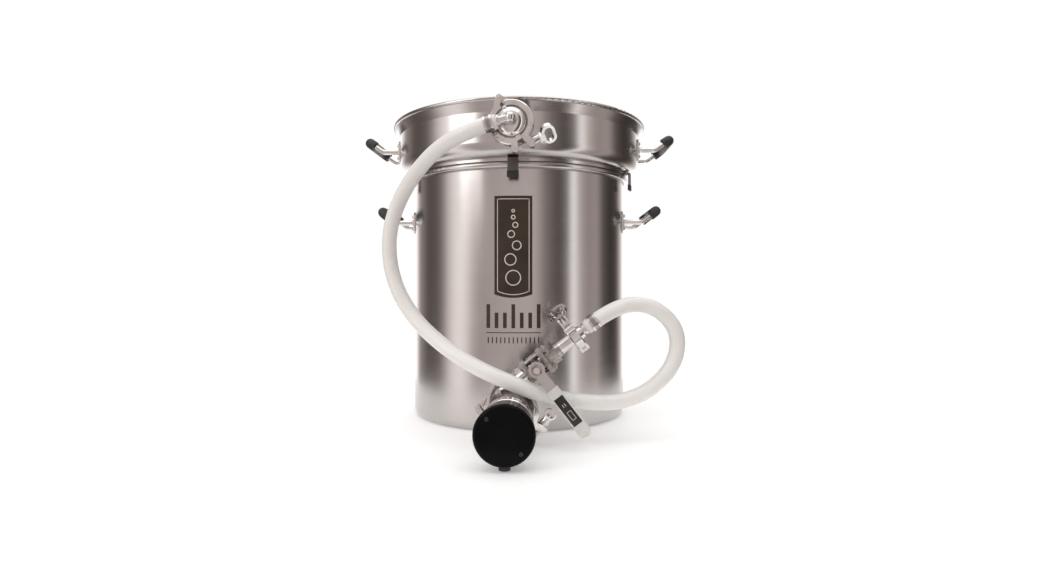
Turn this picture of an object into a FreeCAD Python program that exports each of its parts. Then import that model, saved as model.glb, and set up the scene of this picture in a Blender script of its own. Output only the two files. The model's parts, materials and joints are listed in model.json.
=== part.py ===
"""Electric brew kettle with a lift-out brew basket, a heating element, a ball valve and a hose.

Millimetres. The origin is on the kettle's axis at the surface it stands on.
+Z is up, the front with its ports faces -Y, and +X is the right hand of someone facing it.
"""

import FreeCAD
import Part
import math
import os

# Kettle
KETTLE_R = 175.0
KETTLE_WALL = 1.2
BASE_THICKNESS = 2.0
BASE_CORNER_R = 12.0
RIM_Z = 386.0
BEAD_R = 4.4
BEAD_CENTRE_R = 178.6

# Brew basket: an inner wall inside the kettle, and a wide collar standing on its rim
BASKET_R = 155.0
BASKET_FLOOR_Z = 80.0
SHEET = 1.2
SHOULDER_Z = RIM_Z + 0.3 + SHEET / 2
SHOULDER_CORNER_R = 6.0
NECK_R = 180.0
NECK_TOP_Z = 391.5
COLLAR_R = 199.0
COLLAR_CORNER_R = 18.0
FLARE_START_Z = 452.0
COLLAR_RIM_Z = 470.0
COLLAR_RIM_R = 210.0
COLLAR_BEAD_R = 3.0
SCREEN_THICKNESS = 1.5
SCREEN_HOLE_R = 3.0
SCREEN_RINGS = 7
SCREEN_PITCH = 19.0
WELD_GAP = 0.02
HOOK_COUNT = 5
HOOK_WIDTH = 15.0
HOOK_THICKNESS = 1.8
HOOK_BOTTOM_Z = 362.0
HOOK_OUTER_R = 189.5

# Handles
ROD_R = 4.0
GRIP_R = 8.2
LEG_Y = 44.0
PLATE_THICKNESS = 2.2
RIVET_R = 2.0
RIVET_SPACING = 20.0

# Badge on the front of the kettle
BADGE_WIDTH = 54.0
BADGE_BOTTOM_Z = 198.0
BADGE_TOP_Z = 338.0
BADGE_THICKNESS = 0.6
BADGE_BOW = 5.0

# Sanitary clamps
FLANGE_RIM = 2.4
FLANGE_TAPER = math.tan(math.radians(20))
GASKET_HALF = 0.7
CLAMP_HALF_WIDTH = 6.5
CLAMP_BAND = 5.5
LUG_SPACING = 22.0
PIN_R = 2.0
BOLT_R = 3.0
NUT_START = 27.0
WASHER = 1.5
EYE_THICKNESS = 6.8
FIT = 0.06

# Each clamp: its split, its hinges, its nut's turn, and the wing's half width and distance
PORT_CLAMP = dict(split=-64.0, hinges=(116.0,), turn=50.0, wing_r=9.5, wing_half=5.0, wing_at=21.0)
ELEMENT_CLAMP = dict(split=-36.0, hinges=(120.0, 168.0), turn=0.0, wing_r=6.5, wing_half=1.5, wing_at=14.0)
OUTLET_CLAMP = dict(split=60.0, hinges=(240.0,), turn=90.0, wing_r=9.5, wing_half=5.0, wing_at=21.0)

# Return port on the collar
PORT_Z = 429.0
PORT_Y = -221.5
PORT_TUBE_R = 19.05
PORT_FLANGE_R = 25.25
PORT_ELBOW_Y = -250.0

# Heating element
ELEMENT_Z = 42.0
ELEMENT_Y = -244.5
ELEMENT_TUBE_R = 25.4
ELEMENT_FLANGE_R = 32.0
ELEMENT_ROD_R = 4.0
ELEMENT_LEGS_X = (-14.0, 0.0)
ELEMENT_NECK = 74.0
CAP_FRONT = 115.5
CAP_R = 36.0
CAP_SCREW_R = 27.5
GLAND_ALONG = 103.0
COIL_HALF = 120.0

# Ball valve: its stem axis crosses its flow axis at this point
VALVE_AT = FreeCAD.Vector(35.0, -222.0, 103.4)
FLOW_ANGLE = 38.0
BORE_R = 6.5
BALL_R = 11.0
SPUD_R = 10.5
DIP_TUBE_Y = -163.4
VALVE_BOLT = 13.0
ELBOW_AT_FLOW = -28.6
ELBOW_R = 11.5
OUTLET_AT_FLOW = 64.0
OUTLET_TUBE_R = 9.5
OUTLET_FLANGE_R = 12.6
HOSE_END_AT_FLOW = 82.0
LEVER_Z = 41.0
LEVER_LENGTH = 105.0

# Silicone hose, from the return port round the left to the valve's outlet
HOSE_R = 10.25
HOSE_BORE_R = 6.4
HOSE_ROUTE = [
    (-17.3, -248.7, 424.1),
    (-55.7, -245.8, 413.3),
    (-102.0, -222.0, 395.0),
    (-146.0, -197.0, 354.0),
    (-172.0, -187.0, 303.0),
    (-176.0, -187.0, 256.0),
    (-164.0, -193.0, 207.0),
    (-134.0, -205.0, 163.0),
    (-92.0, -224.0, 129.0),
    (-44.0, -251.0, 104.0),
    (6.0, -265.0, 85.0),
    (52.0, -248.0, 65.5),
    (100.0, -231.0, 56.5),
    (146.0, -222.0, 54.5),
    (189.0, -218.0, 72.0),
    (220.0, -217.0, 108.0),
    (223.0, -218.0, 153.0),
    (187.0, -220.0, 187.0),
    (138.5, -222.0, 184.3),
    (99.6, -222.0, 153.9),
]

NODES = {}


def vec(x, y, z):
    return FreeCAD.Vector(x, y, z)


def unit(v):
    return v * (1.0 / v.Length)


def frame(origin, x_dir, z_dir):
    """A placement whose local X and Z axes point along x_dir and z_dir."""
    z = unit(z_dir)
    y = unit(z.cross(x_dir))
    x = y.cross(z)
    return FreeCAD.Placement(FreeCAD.Matrix(
        x.x, y.x, z.x, origin.x,
        x.y, y.y, z.y, origin.y,
        x.z, y.z, z.z, origin.z,
        0, 0, 0, 1,
    ))


def at_angle(angle, radius):
    return vec(radius * math.cos(math.radians(angle)), radius * math.sin(math.radians(angle)), 0)


def place(shape, where):
    moved = shape.copy()
    moved.Placement = where.multiply(moved.Placement)
    return moved


def add(name, *shapes):
    """Keep the solids of one named sub-part."""
    solids = [s for shape in shapes for s in shape.Solids]
    NODES[name] = solids[0] if len(solids) == 1 else Part.makeCompound(solids)


def cylinder(radius, start, end):
    return Part.makeCylinder(radius, (end - start).Length, start, end - start)


def tube(outer, inner, start, end):
    return cylinder(outer, start, end).cut(cylinder(inner, start, end))


def on_z(radius, z0, z1, x=0.0, y=0.0):
    return cylinder(radius, vec(x, y, z0), vec(x, y, z1))


def on_x(radius, x0, x1, y=0.0, z=0.0):
    return cylinder(radius, vec(x0, y, z), vec(x1, y, z))


def block(x0, x1, y0, y1, z0, z1):
    return Part.makeBox(x1 - x0, y1 - y0, z1 - z0, vec(x0, y0, z0))


def joined(first, *others):
    return first.fuse(list(others)).removeSplitter()


def hexagon(flats, z0, z1):
    """A hexagonal prism along Z, flats across its flat sides."""
    r = flats / math.sqrt(3)
    corners = [at_angle(60 * k, r) + vec(0, 0, z0) for k in range(7)]
    return Part.Face(Part.makePolygon(corners)).extrude(vec(0, 0, z1 - z0))


def outline(start, *steps):
    """A wire in the XZ plane. A step is a point, or the middle and end of an arc."""
    edges = []
    here = vec(start[0], 0, start[1])
    for step in steps:
        if isinstance(step[0], tuple):
            middle, end = (vec(p[0], 0, p[1]) for p in step)
            edges.append(Part.Arc(here, middle, end).toShape())
        else:
            end = vec(step[0], 0, step[1])
            edges.append(Part.LineSegment(here, end).toShape())
        here = end
    return Part.Wire(edges)


def turned(start, *steps, angle=360):
    """The solid of revolution about Z of a closed outline."""
    return Part.Face(outline(start, *steps, start)).revolve(vec(0, 0, 0), vec(0, 0, 1), angle)


def corner_arc(centre, radius, from_angle, to_angle):
    """The middle and end of an arc about a centre, for an outline."""
    return tuple(
        (centre[0] + radius * math.cos(math.radians(a)), centre[1] + radius * math.sin(math.radians(a)))
        for a in ((from_angle + to_angle) / 2, to_angle)
    )


def capsule(a, b, radius, z0, z1):
    """A slot-shaped plate between two points of the XY plane."""
    side = unit(b - a).cross(vec(0, 0, 1)) * radius
    tip = unit(b - a) * radius
    edges = [
        Part.LineSegment(a + side, b + side),
        Part.Arc(b + side, b + tip, b - side),
        Part.LineSegment(b - side, a - side),
        Part.Arc(a - side, a - tip, a + side),
    ]
    face = Part.Face(Part.Wire([e.toShape() for e in edges]))
    face.translate(vec(0, 0, z0))
    return face.extrude(vec(0, 0, z1 - z0))


def both_sides(z0, z1, make):
    """The shape that make(z0, z1) gives, and its twin at minus z."""
    return [make(z0, z1), make(-z1, -z0)]


def route_wire(points, radii):
    """Straight runs joined by tangent arcs, one radius for each inner point."""
    edges = []
    here = points[0]
    for before, corner, after, radius in zip(points, points[1:], points[2:], radii):
        into = unit(corner - before)
        out = unit(after - corner)
        half = into.getAngle(out) / 2
        start = corner - into * (radius * math.tan(half))
        end = corner + out * (radius * math.tan(half))
        middle = corner + unit(out - into) * (radius / math.cos(half) - radius)
        edges.append(Part.LineSegment(here, start).toShape())
        edges.append(Part.Arc(start, middle, end).toShape())
        here = end
    edges.append(Part.LineSegment(here, points[-1]).toShape())
    return Part.Wire(edges)


def pipe(points, radii, radius):
    """A round rod along a route."""
    section = Part.Wire(Part.makeCircle(radius, points[0], points[1] - points[0]))
    return route_wire(points, radii).makePipeShell([section], True, False)


def longest_radii(points):
    """The largest arc that the runs beside each inner point leave room for."""
    radii = []
    for before, corner, after in zip(points, points[1:], points[2:]):
        run = min((corner - before).Length, (after - corner).Length)
        half = (corner - before).getAngle(after - corner) / 2
        radii.append(0.45 * run / math.tan(half))
    return radii


def radial_frame(angle, radius, z):
    """Local Z points out of a wall at an angle round the kettle, and local Y points up."""
    a = math.radians(angle)
    out = vec(math.cos(a), math.sin(a), 0)
    return frame(vec(radius * out.x, radius * out.y, z), vec(-out.y, out.x, 0), out)


# ---------------------------------------------------------------- sanitary clamp and its ferrules


def ferrule(tube_r, flange_r, length):
    """A welded tube with a tapered flange; its gasket face is just under z = 0."""
    return turned(
        (tube_r - 1.5, -length),
        (tube_r, -length),
        (tube_r, -FLANGE_RIM - (flange_r - tube_r) * FLANGE_TAPER),
        (flange_r, -FLANGE_RIM),
        (flange_r, -GASKET_HALF),
        (tube_r - 1.5, -GASKET_HALF),
    )


def gasket(tube_r, flange_r):
    half = GASKET_HALF - 0.02
    inner = tube_r - 1.5
    outer = flange_r - 1
    return turned((inner, -half), (outer, -half), (outer, half), (inner, half))


def band(flange_r, start, end):
    """Half of the clamp's ring, with a groove that wedges the two flanges together."""
    outer = flange_r + CLAMP_BAND
    groove = flange_r + 0.4
    lip = flange_r - 2.6
    rim = FLANGE_RIM + 0.25
    deep = rim + (groove - lip) * FLANGE_TAPER
    w = CLAMP_HALF_WIDTH
    solid = turned(
        (outer - 1.5, -w), (outer, 1.5 - w), (outer, w - 1.5), (outer - 1.5, w), (lip, w), (lip, deep),
        (groove, rim), (groove, -rim), (lip, -deep), (lip, -w), angle=end - start,
    )
    solid.rotate(vec(0, 0, 0), vec(0, 0, 1), start)
    return solid


def clamp_points(flange_r, split):
    """The pivot of the swing bolt, the middle of the lug that it passes, and its direction."""
    line = flange_r + CLAMP_BAND + 4.2
    half_angle = math.degrees(math.atan2(LUG_SPACING / 2, line))
    reach = math.hypot(LUG_SPACING / 2, line)
    pivot = at_angle(split - half_angle, reach)
    lug = at_angle(split + half_angle, reach)
    return pivot, lug, unit(lug - pivot)


def clamp_segments(flange_r, split, hinges):
    """The ring in hinged segments, with forks for the hinge pins and for the bolt and its pivot."""
    pivot, lug, _ = clamp_points(flange_r, split)
    root = flange_r + 3
    w = CLAMP_HALF_WIDTH
    gaps = [split + 10, *[h + d for h in hinges for d in (-8, 8)], split + 350]
    segments = [[band(flange_r, a, b)] for a, b in zip(gaps[::2], gaps[1::2])]
    pins = [pivot]
    for k, angle in enumerate(hinges):
        hinge = at_angle(angle, pivot.Length)
        pins.append(hinge)
        foot = at_angle(angle + 17, root)
        segments[k].append(capsule(hinge, at_angle(angle - 17, root), 4.2, -2.3, 2.3))
        segments[k + 1] += both_sides(2.6, w, lambda a, b: capsule(hinge, foot, 4.2, a, b))
    reach = on_z(NUT_START - 0.4, -w - 1, w + 1, pivot.x, pivot.y)
    slot = both_sides(3.5, w, lambda a, b: capsule(unit(lug) * root, lug * 1.1, 4.5, a, b))
    segments[0] += [side.common(reach) for side in slot]
    segments[-1] += both_sides(3.5, w, lambda a, b: capsule(pivot, unit(pivot) * root, 4.6, a, b))
    room = on_z(flange_r + 0.4, -w - 1, w + 1).cut(band(flange_r, 0, 360))
    holes = [on_z(PIN_R + 0.02, -w - 1, w + 1, p.x, p.y) for p in pins]
    return [joined(*pieces).cut([room, *holes]) for pieces in segments]


def clamp_pins(flange_r, split, hinges):
    pivot, _, _ = clamp_points(flange_r, split)
    w = CLAMP_HALF_WIDTH
    spots = [pivot, *[at_angle(angle, pivot.Length) for angle in hinges]]
    return [on_z(PIN_R, -w - 0.6, w + 0.6, p.x, p.y) for p in spots]


def swing_bolt():
    """Along local X, with its eye round the pivot at the origin."""
    eye = on_z(4.6, -3.2, 3.2)
    shank = on_x(BOLT_R, 2.5, NUT_START + 15)
    return joined(eye, shank).cut(on_z(PIN_R + FIT, -4, 4))


def bolt_washer():
    return tube(6.4, BOLT_R + FIT, vec(NUT_START, 0, 0), vec(NUT_START + WASHER, 0, 0))


def wing_nut(wing_r, wing_half, wing_at, turn):
    """A hub and stalk with one flat oval wing, bored for the bolt along local X."""
    start = NUT_START + WASHER + 0.1
    middle = start + wing_at
    side = vec(0, wing_half, 0)
    half = EYE_THICKNESS / 2
    hub = Part.makeCone(6.4, 5.2, 7.5, vec(start, 0, 0), vec(1, 0, 0))
    stalk = block(start + 6, middle, -5.2, 5.2, -half - 0.5, half + 0.5)
    wing = capsule(vec(middle, 0, 0) - side, vec(middle, 0, 0) + side, wing_r, -half, half)
    hole = capsule(vec(middle, 0, 0) - side, vec(middle, 0, 0) + side, 0.58 * wing_r, -half - 1, half + 1)
    bore = on_x(BOLT_R + FIT, start - 1, middle)
    nut = joined(hub, stalk, wing).cut([hole, bore])
    nut.rotate(vec(0, 0, 0), vec(1, 0, 0), turn)
    return nut


def add_clamp(name, where, flange_r, clamp):
    """All the pieces of one sanitary clamp but its pins, which it returns. Local Z is the pipe's axis."""
    split, hinges = clamp["split"], clamp["hinges"]
    pivot, _, along = clamp_points(flange_r, split)
    bolt_frame = where.multiply(frame(pivot, along, vec(0, 0, 1)))
    nut = wing_nut(clamp["wing_r"], clamp["wing_half"], clamp["wing_at"], clamp["turn"])
    add(name + "_clamp_halves", *[place(s, where) for s in clamp_segments(flange_r, split, hinges)])
    add(name + "_clamp_bolt", place(swing_bolt(), bolt_frame))
    add(name + "_clamp_washer", place(bolt_washer(), bolt_frame))
    add(name + "_wing_nut", place(nut, bolt_frame))
    return [place(s, where) for s in clamp_pins(flange_r, split, hinges)]


# ---------------------------------------------------------------- hose clamp


def hose_clamp():
    """A worm-drive band round local Z, with its screw housing on +Y."""
    inner = HOSE_R + 0.1
    strap = tube(inner + 0.9, inner, vec(0, 0, -6), vec(0, 0, 6))
    housing = block(-6.5, 6.5, inner - 0.5, inner + 5.5, -5, 5).cut(on_z(inner, -7, 7))
    screw = on_x(3.2, 6.6, 11, inner + 2.9, 0)
    return joined(strap, housing), screw


# ---------------------------------------------------------------- kettle


def kettle_shell():
    inner = KETTLE_R - KETTLE_WALL
    c = BASE_CORNER_R
    bead_z = RIM_Z - BEAD_R
    body = turned(
        (0, 0), (KETTLE_R - c, 0), corner_arc((KETTLE_R - c, c), c, -90, 0), (KETTLE_R, bead_z),
        (inner, bead_z), (inner, c), corner_arc((KETTLE_R - c, c), c - KETTLE_WALL, 0, -90),
        (KETTLE_R - c - 1, BASE_THICKNESS), (0, BASE_THICKNESS),
    )
    bead = Part.makeTorus(BEAD_CENTRE_R, BEAD_R, vec(0, 0, bead_z))
    shell = body.fuse(bead)
    shell = shell.cut(cylinder(ELEMENT_TUBE_R + 0.05, vec(0, -200, ELEMENT_Z), vec(0, -150, ELEMENT_Z)))
    drain = drain_at(-200)
    return shell.cut(cylinder(SPUD_R + 0.05, drain, drain + vec(0, 50, 0)))


def badge():
    """A thin plate bent round the wall, with a bowed bottom edge."""
    half = BADGE_WIDTH / 2
    edge = outline(
        (-half, BADGE_BOTTOM_Z), (-half, BADGE_TOP_Z), (half, BADGE_TOP_Z), (half, BADGE_BOTTOM_Z),
        ((0, BADGE_BOTTOM_Z - BADGE_BOW), (-half, BADGE_BOTTOM_Z)),
    )
    prism = Part.Face(edge).extrude(vec(0, -2 * KETTLE_R, 0))
    face = KETTLE_R + 0.03
    ring = tube(face + BADGE_THICKNESS, face, vec(0, 0, BADGE_BOTTOM_Z - 10), vec(0, 0, BADGE_TOP_Z + 10))
    return prism.common(ring)


# ---------------------------------------------------------------- handles


def rivet():
    """A domed head on local z = 0, a shank down through the plate and wall, and a flat tail."""
    tail = PLATE_THICKNESS + KETTLE_WALL + 0.06
    return turned(
        (0, 2.2), ((2.6, 1.5), (3.8, 0)), (RIVET_R, 0),
        (RIVET_R, -tail), (3.2, -tail), (3.2, -tail - 1), (0, -tail - 1),
    )


def plate():
    """A handle's root plate against the wall, rounded at its ends."""
    return capsule(vec(0, -10, 0), vec(0, 10, 0), 7.5, -PLATE_THICKNESS, 0)


def add_handles(prefix, wall_r, leg_z, bend_x, grip_x, grip_z, shell):
    """A pair of bent-rod handles on +X and -X; returns the shell with its rivet holes."""
    rods, grips, plates, rivets = [], [], [], []
    root_angle = math.degrees(math.asin(LEG_Y / wall_r))
    root_frames = [
        radial_frame(base + turn, wall_r + PLATE_THICKNESS, leg_z)
        for base in (0, 180) for turn in (-root_angle, root_angle)
    ]
    for where in root_frames:
        root = plate()
        for up in (-RIVET_SPACING / 2, RIVET_SPACING / 2):
            spot = where.multiply(FreeCAD.Placement(vec(0, up, 0), FreeCAD.Rotation()))
            hole = place(on_z(RIVET_R, -6, 1), spot)
            shell = shell.cut(hole)
            root = root.cut(on_z(RIVET_R, -4, 1, 0, up))
            rivets.append(place(rivet(), spot))
        plates.append(place(root, where))
    wall = on_z(wall_r + 0.05, leg_z - 40, leg_z + 60)
    for side in (-1, 1):
        def at(x, y, z):
            return vec(side * x, y, z)
        start_x = wall_r * math.cos(math.radians(root_angle)) - 5
        mid = 0.55
        mid_x = bend_x + (grip_x - bend_x) * mid
        mid_z = leg_z + (grip_z - leg_z) * mid
        path = [
            at(start_x, -LEG_Y, leg_z), at(bend_x, -LEG_Y, leg_z), at(grip_x, -LEG_Y, grip_z),
            at(grip_x, LEG_Y, grip_z), at(bend_x, LEG_Y, leg_z), at(start_x, LEG_Y, leg_z),
        ]
        rod = pipe(path, [14, 12, 12, 14], ROD_R)
        sleeve = pipe(
            [at(mid_x, -LEG_Y, mid_z), at(grip_x, -LEG_Y, grip_z), at(grip_x, LEG_Y, grip_z),
             at(mid_x, LEG_Y, mid_z)],
            [12, 12], GRIP_R,
        )
        grips.append(sleeve.cut(rod))
        rods.append(rod.cut(wall).cut(Part.makeCompound(plates)))
    add(prefix + "_handles", *rods)
    add(prefix + "_handle_grips", *grips)
    add(prefix + "_handle_plates", *plates)
    add(prefix + "_handle_rivets", *rivets)
    return shell


# ---------------------------------------------------------------- basket


def sheet_round(middle):
    """A sheet turned about Z, half its thickness on each side of an outline."""
    halves = [middle.makeOffset2D(side * SHEET / 2, 2, True, True, False) for side in (1, -1)]
    return joined(*[half.revolve(vec(0, 0, 0), vec(0, 0, 1), 360) for half in halves])


def basket_wall():
    """The inner wall, rolled in at its foot as a lip for the screen."""
    top = SHOULDER_Z - SHOULDER_CORNER_R - WELD_GAP
    return sheet_round(outline((BASKET_R - 9, BASKET_FLOOR_Z), (BASKET_R, BASKET_FLOOR_Z), (BASKET_R, top)))


def basket_collar():
    """The shoulder on the kettle's rim, the neck, and the collar with its flared and beaded rim."""
    corner = SHOULDER_CORNER_R
    c = COLLAR_CORNER_R
    collar = COLLAR_R - SHEET / 2
    shell = sheet_round(outline(
        (BASKET_R, SHOULDER_Z - corner),
        corner_arc((BASKET_R + corner, SHOULDER_Z - corner), corner, 180, 90),
        (NECK_R, SHOULDER_Z), (NECK_R, NECK_TOP_Z), (collar - c, NECK_TOP_Z),
        corner_arc((collar - c, NECK_TOP_Z + c), c, -90, 0),
        (collar, FLARE_START_Z), (COLLAR_RIM_R - COLLAR_BEAD_R, COLLAR_RIM_Z - COLLAR_BEAD_R),
    ))
    bead_z = COLLAR_RIM_Z - COLLAR_BEAD_R
    shell = shell.fuse(Part.makeTorus(COLLAR_RIM_R - COLLAR_BEAD_R, COLLAR_BEAD_R, vec(0, 0, bead_z)))
    return shell.cut(cylinder(PORT_TUBE_R + 0.05, vec(0, -230, PORT_Z), vec(0, -170, PORT_Z)))


def basket_screen():
    """The perforated floor, lying on the basket's lip."""
    floor = BASKET_FLOOR_Z + SHEET / 2 + 0.02
    disc = on_z(BASKET_R - SHEET / 2 - 0.3, floor, floor + SCREEN_THICKNESS)
    holes = []
    for ring in range(1, SCREEN_RINGS + 1):
        for k in range(6 * ring):
            spot = at_angle(60.0 * k / ring, SCREEN_PITCH * ring)
            holes.append(on_z(SCREEN_HOLE_R, floor - 1, floor + 3, spot.x, spot.y))
    return disc.cut(Part.makeCompound(holes))


def rim_hooks():
    """Straps on the neck that reach out over the kettle's bead and hang down outside it."""
    top = RIM_Z + 2.0
    t = HOOK_THICKNESS
    half = HOOK_WIDTH / 2
    reach = block(NECK_R - 2, HOOK_OUTER_R, -half, half, top, top + t)
    drop = block(HOOK_OUTER_R - t, HOOK_OUTER_R, -half, half, HOOK_BOTTOM_Z, top + t)
    hook = joined(reach, drop).cut(on_z(NECK_R + SHEET / 2 + 0.02, top - 5, top + 10))
    hooks = []
    for k in range(HOOK_COUNT):
        one = hook.copy()
        one.rotate(vec(0, 0, 0), vec(0, 0, 1), -90 + 360.0 * k / HOOK_COUNT)
        hooks.append(one)
    return hooks


# ---------------------------------------------------------------- return port on the collar


def port_cap():
    """A domed reducer that closes the port, open in the middle for the elbow's thread."""
    return turned(
        (18.8, GASKET_HALF), (PORT_FLANGE_R, GASKET_HALF), (PORT_FLANGE_R, FLANGE_RIM), (20.8, 4.1),
        ((17.9, 11.8), (8.5, 16.8)), (8.5, 19), (5, 19), (5, 15.4), ((16.2, 10.4), (18.8, 4)),
    )


def hose_direction(end, inside):
    return unit(vec(*HOSE_ROUTE[inside]) - vec(*HOSE_ROUTE[end]))


def barb_along(start, direction, shoulder, length):
    """A hose barb: a shoulder that the hose meets, then a shank with three ridges."""
    pieces = [cylinder(8.0, start + direction * (shoulder - 3.5), start + direction * (shoulder - 0.5))]
    pieces.append(cylinder(5.6, start, start + direction * (shoulder + length)))
    for k in range(3):
        foot = start + direction * (shoulder + 3 + 7 * k)
        pieces.append(Part.makeCone(HOSE_BORE_R - 0.1, 5.6, 5, foot, direction))
    return pieces


def port_elbow():
    """The elbow in the cap's middle, in the port's own frame, its barb towards the hose."""
    lift = PORT_Y - PORT_ELBOW_Y
    out = hose_direction(0, 1)
    local = unit(vec(out.x, out.z, -out.y))
    centre = vec(0, 0, lift)
    stem = on_z(4.97, 12, 20)
    nut = hexagon(16, 19.05, 23)
    neck = on_z(6.5, 22, lift)
    shoulder = (vec(*HOSE_ROUTE[0]) - vec(0, PORT_ELBOW_Y, PORT_Z)).Length
    body = joined(stem, nut, neck, Part.makeSphere(7.2, centre), *barb_along(centre, local, shoulder, 22))
    return body.cut(on_z(3.6, 11, lift)).cut(cylinder(3.6, centre, centre + local * 60))


# ---------------------------------------------------------------- heating element


def element_base():
    """The flanged plate that carries the heating rod, with a neck out to the ring."""
    plate_and_neck = turned(
        (0, GASKET_HALF), (ELEMENT_FLANGE_R, GASKET_HALF), (ELEMENT_FLANGE_R, FLANGE_RIM),
        (25.5, 4.8), (24, 4.8), (24, 40.5), (21, 40.5), (21, 6.5), (0, 6.5),
    )
    for x in ELEMENT_LEGS_X:
        plate_and_neck = plate_and_neck.cut(on_z(ELEMENT_ROD_R + 0.02, 0, 10, x))
    return plate_and_neck


def element_ring():
    """The silver locking ring between the neck and the cap, with grip flutes."""
    ring = turned(
        (14, 40.6), (30.5, 40.6), (32, 42.1), (32, 60), (30.8, 61), (30.8, 64), (32, 65),
        (32, 76), (31, 77.2), (27, 77.2), (27, 44), (14, 44),
    )
    flute = on_z(1.0, 47, 58, 32.5)
    return ring.cut([flute.rotated(vec(0, 0, 0), vec(0, 0, 1), 15 * k) for k in range(24)])


def element_cap():
    """The black cover over the terminals: a cup, wider at its rounded front edge."""
    r = 5.0
    wall = 2.6
    front = CAP_FRONT
    corner = (CAP_R - r, front - r)
    cap = turned(
        (31, 77.3), (33.5, 77.3), (CAP_R, front - r), corner_arc(corner, r, 0, 90),
        (0, front), (0, front - 3), (CAP_R - r, front - 3), corner_arc(corner, r - wall, 90, 0),
    )
    screws = [on_z(1.6, front - 6, front + 3, spot.x, spot.y) for spot in cap_screw_spots()]
    return cap.cut([*screws, cylinder(7.0, vec(0, -45, GLAND_ALONG), vec(0, -20, GLAND_ALONG))])


def cap_screw_spots():
    return [at_angle(angle, CAP_SCREW_R) for angle in (135, -45)]


def cap_screws():
    screws = []
    for spot in cap_screw_spots():
        head = Part.makeCone(2.6, 2.0, 1.2, vec(spot.x, spot.y, CAP_FRONT + 0.05))
        drive = hexagon(2.0, CAP_FRONT + 0.6, CAP_FRONT + 2)
        drive.translate(spot)
        shank = on_z(1.55, CAP_FRONT - 11.5, CAP_FRONT + 0.1, spot.x, spot.y)
        screws.append(joined(head.cut(drive), shank))
    return screws


def cable_gland():
    """A bushing down through the cap's wall, and the nut that holds it inside."""
    y = -ELEMENT_Z + 1.5
    body = cylinder(6.9, vec(0, y, GLAND_ALONG), vec(0, -28, GLAND_ALONG))
    bore = cylinder(4.5, vec(0, y - 1, GLAND_ALONG), vec(0, -20, GLAND_ALONG))
    nut = cylinder(8.3, vec(0, -31, GLAND_ALONG), vec(0, -28.5, GLAND_ALONG))
    return body.cut(bore), nut.cut(body).cut(bore)


def heating_coil():
    """One rod: in along one leg, once round the kettle above its floor, and out along the other."""
    left, right = ELEMENT_LEGS_X
    end_y = ELEMENT_Y - 20
    far, near = COIL_HALF, 50
    ring = [(-far, -near), (-far, near), (-near, far), (near, far), (far, near), (far, -near)]
    ring.append((near, -far - 2))
    flat = [(left, end_y), (left, -132), (-62, -112), *ring, (right, -135), (right, end_y)]
    points = [vec(x, y, ELEMENT_Z) for x, y in flat]
    return pipe(points, [14, 30, *[40] * len(ring), 30], ELEMENT_ROD_R)


def element_terminals():
    """A threaded stud and nut on each end of the heating rod."""
    studs = []
    for x in ELEMENT_LEGS_X:
        stud = joined(on_z(2.0, 20.02, 36), hexagon(7, 26, 29))
        stud.translate(vec(x, 0, 0))
        studs.append(stud)
    return studs


# ---------------------------------------------------------------- drain port and ball valve


def at_flow_angle():
    a = math.radians(FLOW_ANGLE)
    return vec(math.cos(a), 0, math.sin(a))


def valve_frame():
    """Local X is the flow, local Z points at the front."""
    return frame(VALVE_AT, at_flow_angle(), vec(0, -1, 0))


def on_flow(distance):
    return VALVE_AT + at_flow_angle() * distance


def drain_at(y):
    """A point on the drain's axis, which runs along Y through the wall."""
    elbow = on_flow(ELBOW_AT_FLOW)
    return vec(elbow.x, y, elbow.z)


def drain_port():
    """A threaded spud through the wall, with its nut outside."""
    spud = cylinder(SPUD_R, drain_at(-192), drain_at(-172.6))
    nut = place(hexagon(26, 0, 6), frame(drain_at(-177.5), vec(1, 0, 0), vec(0, -1, 0)))
    return joined(spud, nut).cut(cylinder(BORE_R, drain_at(-193), drain_at(-169)))


def dip_tube():
    """From the spud's bore down to just above the floor, outside the basket's wall."""
    bend = drain_at(DIP_TUBE_Y)
    points = [drain_at(-182), bend, bend - vec(0, 0, bend.z - 10)]
    rod = pipe(points, [9], 5.6)
    return rod.cut(pipe(points, [9], 4.6))


def drain_elbow():
    """In the valve's frame: from the inlet cap to the corner, then back towards the wall."""
    corner = vec(ELBOW_AT_FLOW, 0, 0)
    back = cylinder(ELBOW_R, corner, corner - vec(0, 0, 30))
    front = cylinder(ELBOW_R, corner, vec(-20, 0, 0))
    rim = cylinder(ELBOW_R + 1.2, corner - vec(0, 0, 24), corner - vec(0, 0, 30))
    body = joined(Part.makeSphere(ELBOW_R, corner), back, front, rim)
    bores = cylinder(BORE_R, corner, corner - vec(0, 0, 31)).fuse(cylinder(BORE_R, corner, vec(-19, 0, 0)))
    return body.cut(bores).cut(block(-19.99, 0, -20, 20, -40, 20))


def end_plate(x0, x1):
    """A square plate with cut corners across the flow, and its four bolt holes."""
    size, cut = 19.0, 6.0
    corners = [
        (size, size - cut), (size - cut, size), (cut - size, size), (-size, size - cut),
        (-size, cut - size), (cut - size, -size), (size - cut, -size), (size, cut - size),
    ]
    points = [vec(x0, y, z) for y, z in corners + corners[:1]]
    solid = Part.Face(Part.makePolygon(points)).extrude(vec(x1 - x0, 0, 0))
    for y in (-VALVE_BOLT, VALVE_BOLT):
        for z in (-VALVE_BOLT, VALVE_BOLT):
            solid = solid.cut(on_x(2.55, x0 - 1, x1 + 1, y, z))
    return solid


def valve_body():
    """The middle piece: a barrel with the bonnet that the stem comes out of."""
    barrel = on_x(15.0, -10, 10).fuse(on_z(9.8, 8, 27))
    return barrel.removeSplitter().cut(on_x(11.4, -11, 11)).cut(on_z(4.06, 5, 28))


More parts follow.
